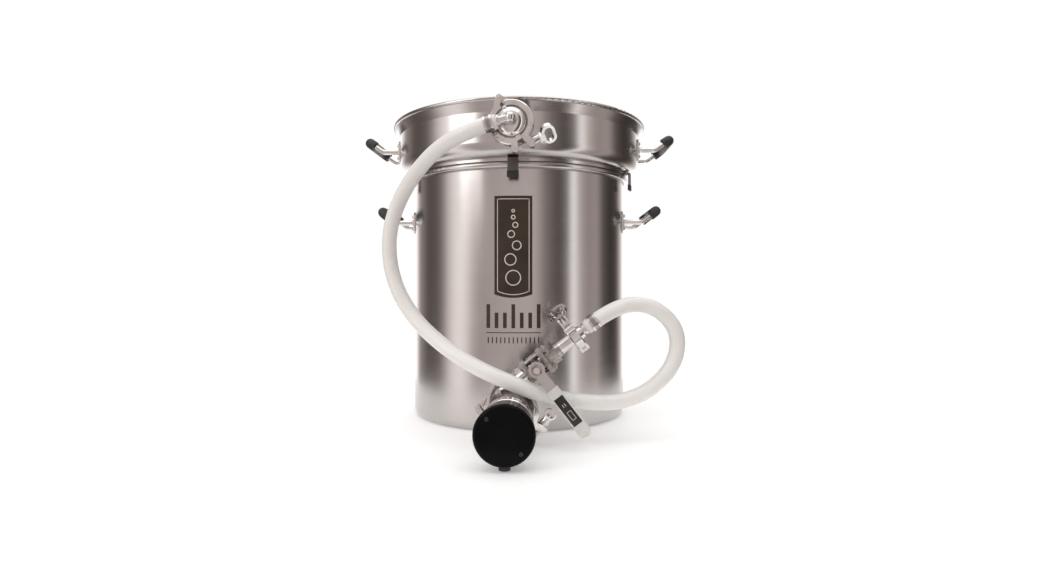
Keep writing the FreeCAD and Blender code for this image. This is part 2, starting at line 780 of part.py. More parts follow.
def end_caps():
    inlet = joined(end_plate(-17, -10.02), on_x(ELBOW_R, -19.98, -16))
    neck = place(hexagon(25, 16, 32), frame(vec(0, 0, 0), vec(0, 1, 0), vec(1, 0, 0)))
    outlet = joined(end_plate(10.02, 17), neck, on_x(11.2, 30, 38))
    return inlet.cut(on_x(BORE_R, -21, -9)), outlet.cut(on_x(BORE_R, 9, 39))


def seats():
    ball = Part.makeSphere(BALL_R + FIT)
    return [tube(11.35, 6.8, vec(s * 6.5, 0, 0), vec(s * 9.98, 0, 0)).cut(ball) for s in (-1, 1)]


def body_bolts():
    """Four bolts through both end plates, each with its head and nut."""
    bolts = []
    for y in (-VALVE_BOLT, VALVE_BOLT):
        for z in (-VALVE_BOLT, VALVE_BOLT):
            head = place(hexagon(8, -20, -17.02), frame(vec(0, y, z), vec(0, 1, 0), vec(1, 0, 0)))
            nut = place(hexagon(8, 17.02, 21), frame(vec(0, y, z), vec(0, 1, 0), vec(1, 0, 0)))
            bolts.append(joined(on_x(2.5, -19, 23, y, z), head, nut))
    return bolts


def ball():
    """Bored across the flow, because the valve stands closed."""
    sphere = Part.makeSphere(BALL_R)
    return sphere.cut(cylinder(BORE_R, vec(0, -12, 0), vec(0, 12, 0))).cut(on_z(4.0, 8, 12))


def stem():
    return on_z(3.98, 8.02, 50)


def packing_nut():
    return hexagon(17, 27.02, 33).cut(on_z(4.06, 26, 34))


def lever():
    """A flat steel strip from the stem, across the flow while the valve is closed."""
    top = LEVER_Z + 3
    strip = capsule(vec(0, 0, 0), vec(0, 12 - LEVER_LENGTH, 0), 7.0, LEVER_Z, top)
    head = on_z(10.5, LEVER_Z, top)
    return joined(strip, head).cut(on_z(4.0, LEVER_Z - 1, top + 1))


def lever_sleeve():
    """The soft sleeve pushed over the strip's outer two thirds."""
    end = 8.5 - LEVER_LENGTH
    outer = capsule(vec(0, -39.5, 0), vec(0, end, 0), 8.5, LEVER_Z - 2.5, LEVER_Z + 5.5)
    square = block(-8.5, 8.5, -42, -31, LEVER_Z - 2.5, LEVER_Z + 5.5)
    pocket = capsule(vec(0, 0, 0), vec(0, 12 - LEVER_LENGTH, 0), 7.02, LEVER_Z - 0.02, LEVER_Z + 3.02)
    return joined(outer, square).cut(pocket)


def lever_nut():
    return hexagon(13, LEVER_Z + 3.02, LEVER_Z + 8).cut(on_z(3.99, LEVER_Z, LEVER_Z + 9))


def outlet_barb():
    """The clamped hose end, along local Z from the gasket."""
    shoulder = HOSE_END_AT_FLOW - OUTLET_AT_FLOW
    r = OUTLET_FLANGE_R
    flange = turned((0, GASKET_HALF), (r, GASKET_HALF), (r, FLANGE_RIM), (10, 3.4), (8.5, 12), (0, 12))
    body = joined(flange, *barb_along(vec(0, 0, 1), vec(0, 0, 1), shoulder - 1, 22))
    return body.cut(on_z(3.8, -1, 60))


def hose():
    """The hose as a ring swept along its route."""
    points = [vec(*p) for p in HOSE_ROUTE]
    radii = longest_radii(points)
    wire = route_wire(points, radii)
    solid = pipe(points, radii, HOSE_R).cut(pipe(points, radii, HOSE_BORE_R))
    section = math.pi * (HOSE_R**2 - HOSE_BORE_R**2)
    print("hose length %.0f, volume ratio %.4f" % (wire.Length, solid.Volume / section / wire.Length))
    print("hose radii", [round(r) for r in radii])
    return solid


# ---------------------------------------------------------------- assembly


def add_kettle():
    shell = add_handles("kettle", KETTLE_R, 313.0, 201.0, 225.0, 332.0, kettle_shell())
    add("kettle_shell", shell)
    add("kettle_badge", badge())


def add_basket():
    collar = add_handles("basket", COLLAR_R, 429.5, 222.0, 246.0, 446.5, basket_collar())
    add("basket_collar", collar)
    add("basket_wall", basket_wall())
    add("basket_screen", basket_screen())
    add("rim_hooks", *rim_hooks())


def add_port():
    where = frame(vec(0, PORT_Y, PORT_Z), vec(1, 0, 0), vec(0, -1, 0))
    add("port_ferrule", place(ferrule(PORT_TUBE_R, PORT_FLANGE_R, 25.0), where))
    add("port_gasket", place(gasket(PORT_TUBE_R, PORT_FLANGE_R), where))
    add("port_cap", place(port_cap(), where))
    add("port_elbow", place(port_elbow(), where))
    add("port_clamp_pins", *add_clamp("port", where, PORT_FLANGE_R, PORT_CLAMP))
    along = hose_direction(0, 1)
    spot = vec(*HOSE_ROUTE[0]) + along * 11
    pieces = hose_clamp()
    add("port_hose_clamp", *[place(p, frame(spot, vec(0, 0, 1), along)) for p in pieces])


def add_element():
    where = frame(vec(0, ELEMENT_Y, ELEMENT_Z), vec(1, 0, 0), vec(0, -1, 0))
    add("element_ferrule", place(ferrule(ELEMENT_TUBE_R, ELEMENT_FLANGE_R, ELEMENT_NECK), where))
    add("element_gasket", place(gasket(ELEMENT_TUBE_R, ELEMENT_FLANGE_R), where))
    add("element_base", place(element_base(), where))
    add("element_ring", place(element_ring(), where))
    add("element_cap", place(element_cap(), where))
    add("element_cap_screws", *[place(s, where) for s in cap_screws()])
    add("cable_gland", *[place(s, where) for s in cable_gland()])
    add("element_terminals", *[place(s, where) for s in element_terminals()])
    add("heating_coil", heating_coil())
    return add_clamp("element", where, ELEMENT_FLANGE_R, ELEMENT_CLAMP)


def add_valve():
    where = valve_frame()
    add("drain_port", drain_port())
    add("dip_tube", dip_tube())
    add("drain_elbow", place(drain_elbow(), where))
    add("valve_body", place(valve_body(), where))
    add("valve_end_caps", *[place(s, where) for s in end_caps()])
    add("valve_seats", *[place(s, where) for s in seats()])
    add("valve_body_bolts", *[place(s, where) for s in body_bolts()])
    add("valve_packing_nut", place(packing_nut(), where))
    add("valve_ball", place(ball(), where))
    add("valve_stem", place(stem(), where))
    add("valve_lever", place(lever(), where))
    add("lever_sleeve", place(lever_sleeve(), where))
    add("lever_nut", place(lever_nut(), where))
    flow = at_flow_angle()
    outlet = on_flow(OUTLET_AT_FLOW)
    with_flow = frame(outlet, vec(0, -1, 0), flow)
    add("outlet_adapter", place(ferrule(OUTLET_TUBE_R, OUTLET_FLANGE_R, 25.98), with_flow))
    add("outlet_gasket", place(gasket(OUTLET_TUBE_R, OUTLET_FLANGE_R), with_flow))
    add("outlet_barb", place(outlet_barb(), with_flow))
    clamp_at = on_flow(HOSE_END_AT_FLOW + 13)
    add("outlet_hose_clamp", *[place(p, frame(clamp_at, vec(1, 0, 0), flow)) for p in hose_clamp()])
    return add_clamp("outlet", frame(outlet, vec(0, -1, 0), flow * -1), OUTLET_FLANGE_R, OUTLET_CLAMP)


add_kettle()
add_basket()
add_port()
add("kettle_clamp_pins", *add_element(), *add_valve())
add("hose", hose())

os.makedirs("parts", exist_ok=True)
for name, shape in sorted(NODES.items()):
    if not shape.isValid():
        print("not valid:", name)
    shape.exportStep("parts/" + name + ".step")
print(len(NODES), "nodes,", sum(len(s.Solids) for s in NODES.values()), "solids")
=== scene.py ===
"""Looks of an electric brew kettle with a lift-out basket, a sanitary valve and a silicone hose.

Metres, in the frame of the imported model: +Z up, the front faces -Y, the origin on the floor at the
kettle's axis.
"""

import json
import math

import bmesh
import bpy
from mathutils import Matrix, Vector


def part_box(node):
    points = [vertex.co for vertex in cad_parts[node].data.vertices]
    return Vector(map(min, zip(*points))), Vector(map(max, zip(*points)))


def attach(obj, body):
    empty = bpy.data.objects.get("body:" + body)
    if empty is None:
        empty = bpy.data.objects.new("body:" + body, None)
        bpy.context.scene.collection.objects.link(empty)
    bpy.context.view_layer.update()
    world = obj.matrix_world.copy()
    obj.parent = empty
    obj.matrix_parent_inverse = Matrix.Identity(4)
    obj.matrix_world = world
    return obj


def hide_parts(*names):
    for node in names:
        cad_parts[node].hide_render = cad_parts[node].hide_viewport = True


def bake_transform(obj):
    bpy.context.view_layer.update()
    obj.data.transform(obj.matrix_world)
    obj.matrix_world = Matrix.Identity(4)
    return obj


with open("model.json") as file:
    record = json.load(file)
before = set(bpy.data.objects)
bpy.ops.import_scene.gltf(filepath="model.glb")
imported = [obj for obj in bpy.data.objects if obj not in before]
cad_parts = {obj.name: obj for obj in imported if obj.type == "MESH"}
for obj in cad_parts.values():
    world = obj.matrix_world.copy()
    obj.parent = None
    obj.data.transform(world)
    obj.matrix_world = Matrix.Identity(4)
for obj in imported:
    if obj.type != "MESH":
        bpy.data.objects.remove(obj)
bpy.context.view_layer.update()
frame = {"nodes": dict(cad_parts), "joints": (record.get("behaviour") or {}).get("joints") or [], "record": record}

RECORD = frame["record"]
JOINTS = {j["name"]: j for j in frame["joints"]}

# Kettle and basket walls, given as numbers; the badge's box read from the imported nodes
KETTLE_R = 0.175
COLLAR_R = 0.199
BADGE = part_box("kettle_badge")
BADGE_FACE_R = KETTLE_R + 0.00066
BADGE_BOW = 0.005

# Marks on the badge, and etched below it
MARK_HEIGHT = 0.0002
BORDER_INSET = 0.0045
BORDER_WIDTH = 0.0011
BUBBLE_LINE = 0.0015
BUBBLES = [
    (0, -0.044, 0.0105), (-0.004, -0.018, 0.0080), (0.005, 0.002, 0.0062), (-0.003, 0.018, 0.0048),
    (0.003, 0.031, 0.0036), (0, 0.042, 0.0027), (0, 0.051, 0.0019),
]
MARKS_HALF = 0.039
MARKS_MARGIN = 0.003
RULE_Z = 0.1435
RULE_WIDTH = 0.0012
BARS = 7
BAR_Z = 0.1500
BAR_TALL = 0.034
BAR_SHORT = 0.022
BAR_WIDTH = 0.0052
TICKS = 13
TICK_Z = 0.1285
TICK_TALL = 0.0085
TICK_WIDTH = 0.0016

# Hose: the same route as its CAD solid
HOSE_R = 0.01025
HOSE_BORE_R = 0.0066
HOSE_ROUTE = [
    (-0.0173, -0.2487, 0.4241),
    (-0.0557, -0.2458, 0.4133),
    (-0.102, -0.222, 0.395),
    (-0.146, -0.197, 0.354),
    (-0.172, -0.187, 0.303),
    (-0.176, -0.187, 0.256),
    (-0.164, -0.193, 0.207),
    (-0.134, -0.205, 0.163),
    (-0.092, -0.224, 0.129),
    (-0.044, -0.251, 0.104),
    (0.006, -0.265, 0.085),
    (0.052, -0.248, 0.0655),
    (0.100, -0.231, 0.0565),
    (0.146, -0.222, 0.0545),
    (0.189, -0.218, 0.072),
    (0.220, -0.217, 0.108),
    (0.223, -0.218, 0.153),
    (0.187, -0.220, 0.187),
    (0.1385, -0.222, 0.1843),
    (0.0996, -0.222, 0.1539),
]
HOSE_SIDES = 40
HOSE_STEPS = 14
HOSE_LIP = 0.0008

# Camera
CAMERA_AT = (0.0499, -1.0388, 0.212)
CAMERA_TURN = math.radians(2.3)
CAMERA_LENS = 20.95
SENSOR = 36.0

# Floor
FLOOR_R = 0.45

# Valve and lever directions
FLOW_ANGLE = math.radians(38)
VALVE_AT = Vector(JOINTS["valve_turn"]["pos_m"])

# Thread on the clamps' bolts, measured from the bolt's pivot
THREAD_START = 0.0085
THREAD_END = 0.0258
THREAD_PITCH = 0.001411
THREAD_ROOT = 0.0029
THREAD_TIP = 0.0034
THREAD_SIDES = 24

# Slots in the hose clamps, drawn as dark blocks of painted shade, and the clamps' places along the hose and the
# valve's flow
SLOTS = 30
SLOT_SIZE = (0.0002, 0.0011, 0.0062)
SLOT_RISE = 0.00102
SLOT_SLANT = 0.25
PORT_CLAMP_ALONG = 0.011
OUTLET_CLAMP_ALONG = 0.095

# Rim hooks
HOOKS_ROUND = 5
HOOK_R = 0.1886
HOOK_TIP_SIZE = (0.0034, 0.0166, 0.0095)
HOOK_TIP_RISE = 0.0045

# Handles: half the distance between the legs, and the plates' faces off the wall
LEG_Y = 0.044
PLATE_FACE = 0.0024

# Label on the lever's sleeve: its lines are x, y, length and width
LABEL_ALONG = 0.0645
LABEL_SIZE = (0.042, 0.0132, 0.0007)
LABEL_FACE = 0.00038
LABEL_LINES = [
    (0.007, 0.0028, 0.0125, 0.0006), (0.007, -0.0028, 0.0125, 0.0006),
    (0.001, 0, 0.0006, 0.0062), (0.013, 0, 0.0006, 0.0062),
    (-0.0085, 0.0016, 0.0045, 0.0008), (-0.0085, -0.0016, 0.0045, 0.0008),
]


# ---------------------------------------------------------------- mesh helpers


def mesh_object(name, bm, material, body, smooth=True):
    """A piece from a bmesh, with its material, riding on a body."""
    bmesh.ops.recalc_face_normals(bm, faces=bm.faces)
    mesh = bpy.data.meshes.new(name)
    bm.to_mesh(mesh)
    bm.free()
    for face in mesh.polygons:
        face.use_smooth = smooth
    piece = bpy.data.objects.new(name, mesh)
    bpy.context.scene.collection.objects.link(piece)
    mesh.materials.append(material)
    if body:
        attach(piece, body)
    return piece


def frame_of(origin, x_dir, z_dir):
    """A matrix whose local X and Z axes point along x_dir and z_dir."""
    z = Vector(z_dir).normalized()
    y = z.cross(Vector(x_dir)).normalized()
    x = y.cross(z)
    rotation = Matrix((x, y, z)).transposed().to_4x4()
    return Matrix.Translation(Vector(origin)) @ rotation


def swept_rings(bm, rings, closed=False, cap=False):
    """Faces between rings of points; each ring is a closed loop."""
    loops = [[bm.verts.new(p) for p in ring] for ring in rings]
    pairs = list(zip(loops, loops[1:]))
    if closed:
        pairs.append((loops[-1], loops[0]))
    for a, b in pairs:
        for i in range(len(a)):
            j = (i + 1) % len(a)
            bm.faces.new((a[i], a[j], b[j], b[i]))
    if cap:
        bm.faces.new(loops[0])
        bm.faces.new(loops[-1])
    return loops


def bead(bm, matrix, radius, thick, sides=64):
    """A weld bead: a small ring of round section, slightly uneven like a hand-made weld."""
    rings = []
    for k in range(sides * 2):
        a = math.pi * k / sides
        size = thick * (1 + 0.12 * math.sin(k * 2.1) + 0.06 * math.sin(k * 5.3))
        centre = Vector((math.cos(a), math.sin(a), 0))
        rings.append([
            matrix @ (centre * (radius + size * math.cos(t)) + Vector((0, 0, size * math.sin(t))))
            for t in (2 * math.pi * i / 8 for i in range(8))
        ])
    swept_rings(bm, rings, closed=True)


def rounded_box(bm, matrix, size, bevel, segments=2):
    """A box with rounded edges, centred on the matrix."""
    made = bmesh.ops.create_cube(bm, size=1.0)
    bmesh.ops.scale(bm, vec=size, verts=made["verts"])
    edges = list({e for v in made["verts"] for e in v.link_edges})
    result = bmesh.ops.bevel(
        bm, geom=edges, offset=bevel, segments=segments, affect="EDGES", profile=0.5
    )
    verts = {v for f in result["faces"] for v in f.verts} | {v for v in made["verts"] if v.is_valid}
    bmesh.ops.transform(bm, matrix=matrix, verts=list(verts))


# ---------------------------------------------------------------- material helpers


class Shader:
    """A material's node tree, with short ways to add and join nodes."""

    def __init__(self, name):
        self.material = bpy.data.materials.new(name)
        self.material.use_nodes = True
        self.nodes = self.material.node_tree.nodes
        self.links = self.material.node_tree.links
        self.bsdf = self.nodes["Principled BSDF"]

    def add(self, kind, settings=None, **inputs):
        """A node of that kind; settings are its properties, inputs its sockets' values or links."""
        node = self.nodes.new("ShaderNode" + kind)
        for key, value in (settings or {}).items():
            setattr(node, key, value)
        for key, value in inputs.items():
            self.feed(node.inputs[key.replace("_", " ")], value)
        return node

    def feed(self, socket, value):
        if isinstance(value, bpy.types.NodeSocket):
            self.links.new(value, socket)
        else:
            socket.default_value = value

    def set(self, **inputs):
        for key, value in inputs.items():
            self.feed(self.bsdf.inputs[key.replace("_", " ")], value)

    def place(self, scale):
        """Object coordinates, stretched by a scale along each axis."""
        coordinates = self.add("TexCoord").outputs["Object"]
        return self.add("Mapping", Vector=coordinates, Scale=scale).outputs["Vector"]

    def noise(self, scale, detail=3.0, size=1.0, roughness=0.55):
        vector = self.place(scale)
        return self.add(
            "TexNoise", Vector=vector, Scale=size, Detail=detail, Roughness=roughness
        ).outputs["Fac"]

    def span(self, value, low, high, start=0.3, end=0.7):
        """The value, spread from start..end to low..high."""
        node = self.add("MapRange")
        self.feed(node.inputs["Value"], value)
        for key, number in (("From Min", start), ("From Max", end), ("To Min", low), ("To Max", high)):
            node.inputs[key].default_value = number
        return node.outputs["Result"]

    def blend(self, factor, first, second):
        node = self.add("Mix", {"data_type": "RGBA"})
        self.feed(node.inputs["Factor"], factor)
        self.feed(node.inputs[6], first)
        self.feed(node.inputs[7], second)
        return node.outputs[2]

    def bump(self, height, strength, distance, normal=None):
        node = self.add("Bump", Height=height, Strength=strength, Distance=distance)
        if normal:
            self.feed(node.inputs["Normal"], normal)
        return node.outputs["Normal"]

    def soft_edges(self, radius):
        return self.add("Bevel", {"samples": 6}, Radius=radius).outputs["Normal"]


def rgb(r, g, b):
    return (r, g, b, 1.0)


def brushed_sheet():
    """Stainless sheet, brushed round the kettle, with faint smears."""
    s = Shader("brushed_sheet")
    streaks = s.noise((3, 3, 1400), detail=5)
    wide_streaks = s.noise((1.2, 1.2, 160), detail=3)
    smears = s.noise((9, 9, 5), detail=4)
    tone = s.blend(s.span(smears, 0, 1), rgb(0.53, 0.505, 0.495), rgb(0.58, 0.555, 0.545))
    tone = s.blend(s.span(wide_streaks, 0, 0.10), tone, rgb(0.46, 0.43, 0.415))
    rough = s.add("Math", {"operation": "ADD"})
    s.feed(rough.inputs[0], s.span(streaks, 0.20, 0.24))
    s.feed(rough.inputs[1], s.span(smears, -0.01, 0.03))
    tangent = s.add("Tangent", {"direction_type": "RADIAL", "axis": "Z"}).outputs["Tangent"]
    s.set(
        Base_Color=tone, Metallic=1.0, Roughness=rough.outputs[0], Anisotropic=0.45,
        Anisotropic_Rotation=0.25, Tangent=tangent, Normal=s.bump(streaks, 0.012, 0.0003),
    )
    return s.material


def polished_steel():
    """Polished fittings with fine buffing marks and soft edges."""
    s = Shader("polished_steel")
    marks = s.noise((900, 900, 900), detail=4)
    cloud = s.noise((60, 60, 60), detail=3)
    tone = s.blend(s.span(cloud, 0, 1), rgb(0.60, 0.575, 0.555), rgb(0.76, 0.74, 0.72))
    s.set(
        Base_Color=tone, Metallic=1.0, Roughness=s.span(marks, 0.03, 0.09),
        Normal=s.bump(marks, 0.03, 0.0002, s.soft_edges(0.0006)),
    )
    return s.material


def cast_steel():
    """Cast and blasted stainless: a grainy satin skin, darker and paler in random patches."""
    s = Shader("cast_steel")
    grain = s.noise((1600, 1600, 1600), detail=4)
    cloud = s.noise((90, 90, 90), detail=3)
    tone = s.blend(s.span(cloud, 0, 1), rgb(0.16, 0.145, 0.135), rgb(0.56, 0.53, 0.51))
    s.set(
        Base_Color=tone, Metallic=1.0, Roughness=s.span(grain, 0.10, 0.22),
        Normal=s.bump(grain, 0.18, 0.0003, s.soft_edges(0.0007)),
    )
    return s.material


def heater_sheath():
    """An element's sheath, coloured by heat."""
    s = Shader("heater_sheath")
    scale = s.noise((500, 500, 500), detail=5)
    heat = s.noise((14, 14, 30), detail=2)
    tone = s.blend(s.span(heat, 0, 1), rgb(0.22, 0.21, 0.215), rgb(0.42, 0.36, 0.30))
    s.set(
        Base_Color=tone, Metallic=1.0, Roughness=s.span(scale, 0.35, 0.55),
        Normal=s.bump(scale, 0.2, 0.0003),
    )
    return s.material


def gloss_black():
    """Glossy black moulding with faint haze and hairline scratches."""
    s = Shader("gloss_black")
    haze = s.noise((40, 40, 40), detail=4)
    scratches = s.noise((30, 1200, 900), detail=2)
    rough = s.add("Math", {"operation": "ADD"})
    s.feed(rough.inputs[0], s.span(haze, 0.14, 0.24))
    s.feed(rough.inputs[1], s.span(scratches, 0.0, 0.06, 0.55, 0.7))
    tone = s.blend(s.span(haze, 0, 1), rgb(0.0018, 0.0018, 0.0020), rgb(0.0036, 0.0036, 0.0040))
    s.set(
        Base_Color=tone, Roughness=rough.outputs[0], Specular_IOR_Level=0.08,
        Normal=s.bump(haze, 0.02, 0.0005, s.soft_edges(0.0008)),
    )
    return s.material


def black_nylon():
    s = Shader("black_nylon")
    grain = s.noise((2200, 2200, 2200), detail=3)
    tone = s.blend(s.span(grain, 0, 1), rgb(0.012, 0.012, 0.013), rgb(0.028, 0.028, 0.03))
    s.set(Base_Color=tone, Roughness=s.span(grain, 0.45, 0.62), Normal=s.bump(grain, 0.25, 0.0003))
    return s.material


def grip_rubber():
    """Dipped rubber: dark, matt and pebbled, rubbed paler where hands hold it."""
    s = Shader("grip_rubber")
    pebble = s.add(
        "TexVoronoi", {"feature": "SMOOTH_F1"}, Vector=s.place((1, 1, 1)), Scale=900.0
    ).outputs["Distance"]
    wear = s.noise((45, 45, 45), detail=4)
    tone = s.blend(s.span(wear, 0, 1), rgb(0.016, 0.016, 0.018), rgb(0.045, 0.044, 0.046))
    s.set(Base_Color=tone, Roughness=s.span(wear, 0.5, 0.68), Normal=s.bump(pebble, 0.25, 0.0004))
    return s.material


def milky_silicone():
    """Translucent hose wall: milky, softly glossy, with faint extrusion lines along it."""
    s = Shader("milky_silicone")
    uv = s.add("TexCoord").outputs["UV"]
    lines_at = s.add("Mapping", Vector=uv, Scale=(60, 1.5, 1)).outputs["Vector"]
    lines = s.add("TexNoise", Vector=lines_at, Scale=1.0, Detail=3.0).outputs["Fac"]
    cloud = s.noise((26, 26, 26), detail=4)
    tone = s.blend(s.span(cloud, 0, 1), rgb(0.87, 0.865, 0.83), rgb(0.95, 0.945, 0.92))
    tone = s.blend(s.span(lines, 0, 0.3), tone, rgb(0.80, 0.81, 0.78))
    s.set(
        Base_Color=tone, Roughness=s.span(cloud, 0.26, 0.36), Subsurface_Weight=0.55,
        Subsurface_Radius=(0.9, 1.0, 0.95), Subsurface_Scale=0.006, Coat_Weight=0.25, Coat_Roughness=0.2,
        Normal=s.bump(lines, 0.04, 0.0003),
    )
    return s.material


def coated_hook():
    """The rim hooks' dark coating over steel, rubbed in places."""
    s = Shader("coated_hook")
    grain = s.noise((1300, 1300, 1300), detail=3)
    wear = s.noise((70, 70, 70), detail=4)
    tone = s.blend(s.span(wear, 0, 1), rgb(0.075, 0.062, 0.055), rgb(0.14, 0.12, 0.108))
    s.set(
        Base_Color=tone, Metallic=0.4, Roughness=s.span(grain, 0.34, 0.5),
        Normal=s.bump(grain, 0.12, 0.0003),
    )
    return s.material


def white_gasket():
    s = Shader("white_gasket")
    cloud = s.noise((200, 200, 200), detail=3)
    tone = s.blend(s.span(cloud, 0, 1), rgb(0.74, 0.74, 0.72), rgb(0.86, 0.86, 0.84))
    s.set(Base_Color=tone, Roughness=s.span(cloud, 0.4, 0.55), Normal=s.bump(cloud, 0.05, 0.0003))
    return s.material


def pale_vinyl():
    """The lever's dipped sleeve: off-white, slightly yellowed and scuffed."""
    s = Shader("pale_vinyl")
    cloud = s.noise((120, 120, 120), detail=4)
    scuffs = s.noise((700, 700, 700), detail=3)
    tone = s.blend(s.span(cloud, 0, 1), rgb(0.70, 0.695, 0.67), rgb(0.80, 0.79, 0.77))
    tone = s.blend(s.span(scuffs, 0, 0.5, 0.62, 0.75), tone, rgb(0.5, 0.49, 0.47))
    s.set(
        Base_Color=tone, Roughness=s.span(cloud, 0.32, 0.45), Subsurface_Weight=0.25,
        Subsurface_Scale=0.003, Normal=s.bump(scuffs, 0.06, 0.0003, s.soft_edges(0.0012)),
    )
    return s.material


def badge_brown():
    """Dark brown enamel with a fine satin grain."""
    s = Shader("badge_brown")
    grain = s.noise((5, 5, 1800), detail=4)
    cloud = s.noise((30, 30, 30), detail=3)
    tone = s.blend(s.span(cloud, 0, 1), rgb(0.032, 0.021, 0.014), rgb(0.052, 0.036, 0.025))
    s.set(
        Base_Color=tone, Metallic=0.35, Roughness=s.span(grain, 0.30, 0.42),
        Normal=s.bump(grain, 0.06, 0.0003),
    )
    return s.material


def badge_cream():
    s = Shader("badge_cream")
    grain = s.noise((700, 700, 700), detail=3)
    tone = s.blend(s.span(grain, 0, 1), rgb(0.66, 0.62, 0.56), rgb(0.78, 0.74, 0.68))
    s.set(Base_Color=tone, Roughness=s.span(grain, 0.35, 0.5))
    return s.material


def etched_mark():
    """Dark etched marks on the steel."""
    s = Shader("etched_mark")
    grain = s.noise((6, 6, 1500), detail=4)
    tone = s.blend(s.span(grain, 0, 1), rgb(0.05, 0.035, 0.027), rgb(0.085, 0.062, 0.05))
    s.set(Base_Color=tone, Metallic=0.6, Roughness=s.span(grain, 0.35, 0.5))
    return s.material


# Black for the lever's label, also used as painted shade in the hose clamps' slots
def black_label_and_slot_shade():
    s = Shader("black_label_and_slot_shade")
    grain = s.noise((900, 900, 900), detail=3)
    tone = s.blend(s.span(grain, 0, 1), rgb(0.008, 0.008, 0.009), rgb(0.02, 0.02, 0.021))
    s.set(Base_Color=tone, Roughness=s.span(grain, 0.28, 0.4))
    return s.material


def weld_metal():
    """Weld beads: bright, rippled and lightly tinted."""
    s = Shader("weld_metal")
    ripple = s.noise((420, 420, 420), detail=3)
    tone = s.blend(s.span(ripple, 0, 1), rgb(0.48, 0.43, 0.38), rgb(0.70, 0.66, 0.62))
    s.set(
        Base_Color=tone, Metallic=1.0, Roughness=s.span(ripple, 0.25, 0.42),
        Normal=s.bump(ripple, 0.3, 0.0004),
    )
    return s.material


def studio_floor():
    s = Shader("studio_floor")
    cloud = s.noise((2, 2, 2), detail=2)
    tone = s.blend(s.span(cloud, 0, 1), rgb(0.86, 0.86, 0.86), rgb(0.90, 0.90, 0.90))
    s.set(
        Base_Color=tone, Roughness=s.span(cloud, 0.6, 0.7),
        Emission_Color=rgb(1, 1, 1), Emission_Strength=0.24,
    )
    return s.material


MATERIALS = {
    "brushed_steel": brushed_sheet(),
    "polished_steel": polished_steel(),
    "cast_steel": cast_steel(),
    "heater_alloy": heater_sheath(),
    "cap_plastic": gloss_black(),
    "gland_plastic": black_nylon(),
    "grip_rubber": grip_rubber(),
    "silicone": milky_silicone(),
    "gasket_white": white_gasket(),
    "sleeve_vinyl": pale_vinyl(),
    "badge_print": badge_brown(),
}
HOOKS = coated_hook()
CREAM = badge_cream()
ETCHED = etched_mark()
LABEL_AND_SLOT_SHADE = black_label_and_slot_shade()
WELD = weld_metal()


def dress_nodes():
    """Gives each CAD node the material of its record slot."""
    for entry in RECORD["subparts"]:
        node = frame["nodes"][entry["node"]]
        node.data.materials.clear()
        node.data.materials.append(MATERIALS[entry["material_slot"]])
    frame["nodes"]["rim_hooks"].data.materials[0] = HOOKS
    frame["nodes"]["element_cap_screws"].data.materials[0] = MATERIALS["gland_plastic"]


# ---------------------------------------------------------------- camera


def make_camera():
    data = bpy.data.cameras.new("camera")
    data.lens = CAMERA_LENS
    data.sensor_width = SENSOR
    data.clip_start = 0.05
    data.clip_end = 50.0
    camera = bpy.data.objects.new("camera", data)
    camera.location = CAMERA_AT
    camera.rotation_euler = (math.radians(90), 0, CAMERA_TURN)
    bpy.context.scene.collection.objects.link(camera)
    bpy.context.scene.camera = camera
    bpy.context.scene.view_settings.view_transform = "Standard"


# ---------------------------------------------------------------- hose


def route_line(points, steps):
    """The evaluated line of a NURBS spline through control points."""
    curve = bpy.data.curves.new("route", "CURVE")
    curve.dimensions = "3D"
    spline = curve.splines.new("NURBS")
    spline.points.add(len(points) - 1)
    for spot, point in zip(spline.points, points):
        spot.co = (*point, 1.0)
    spline.order_u = 3
    spline.use_endpoint_u = True
    spline.resolution_u = steps
    holder = bpy.data.objects.new("route", curve)
    mesh = bpy.data.meshes.new_from_object(holder)
    line = [v.co.copy() for v in mesh.vertices]
    bpy.data.meshes.remove(mesh)
    bpy.data.objects.remove(holder)
    bpy.data.curves.remove(curve)
    return line


def carried_frames(line):
    """A direction and two side vectors at each point, turned as little as possible."""
    directions = []
    for i in range(len(line)):
        directions.append((line[min(i + 1, len(line) - 1)] - line[max(i - 1, 0)]).normalized())
    side = directions[0].cross(Vector((0, 0, 1))).normalized()
    frames = []
    for d in directions:
        side = (side - d * side.dot(d)).normalized()
        frames.append((d, side, d.cross(side)))
    return frames


def make_hose():
    """The hose as a thick-walled tube round its route, bending between the kettle and the basket."""
    line = route_line(HOSE_ROUTE, HOSE_STEPS)
    frames = carried_frames(line)
    bm = bmesh.new()
    uv = bm.loops.layers.uv.new("UVMap")

    def ring(i, radius):
        _, a, b = frames[i]
        return [
            line[i] + (a * math.cos(t) + b * math.sin(t)) * radius
            for t in (2 * math.pi * k / HOSE_SIDES for k in range(HOSE_SIDES))
        ]

    outer = [ring(i, HOSE_R) for i in range(len(line))]
    outer[0] = ring(0, HOSE_R - HOSE_LIP)
    outer[-1] = ring(len(line) - 1, HOSE_R - HOSE_LIP)
    inner = [ring(i, HOSE_BORE_R) for i in range(len(line))]
    loops = [[bm.verts.new(p) for p in points] for points in outer + inner[::-1]]
    for row, (a, b) in enumerate(zip(loops, loops[1:] + loops[:1])):
        for i in range(HOSE_SIDES):
            j = (i + 1) % HOSE_SIDES
            face = bm.faces.new((a[i], a[j], b[j], b[i]))
            along = (row, row, row + 1, row + 1)
            around = (i, i + 1, i + 1, i)
            for corner, v, u in zip(face.loops, along, around):
                corner[uv].uv = (u / HOSE_SIDES, v / len(line))
    piece = mesh_object("silicone_hose", bm, MATERIALS["silicone"], None)
    piece.visible_glossy = False
    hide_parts("hose")
    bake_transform(piece)


# ---------------------------------------------------------------- badge and marks


def on_wall(x, z, radius):
    return Vector((x, -math.sqrt(radius * radius - x * x), z))


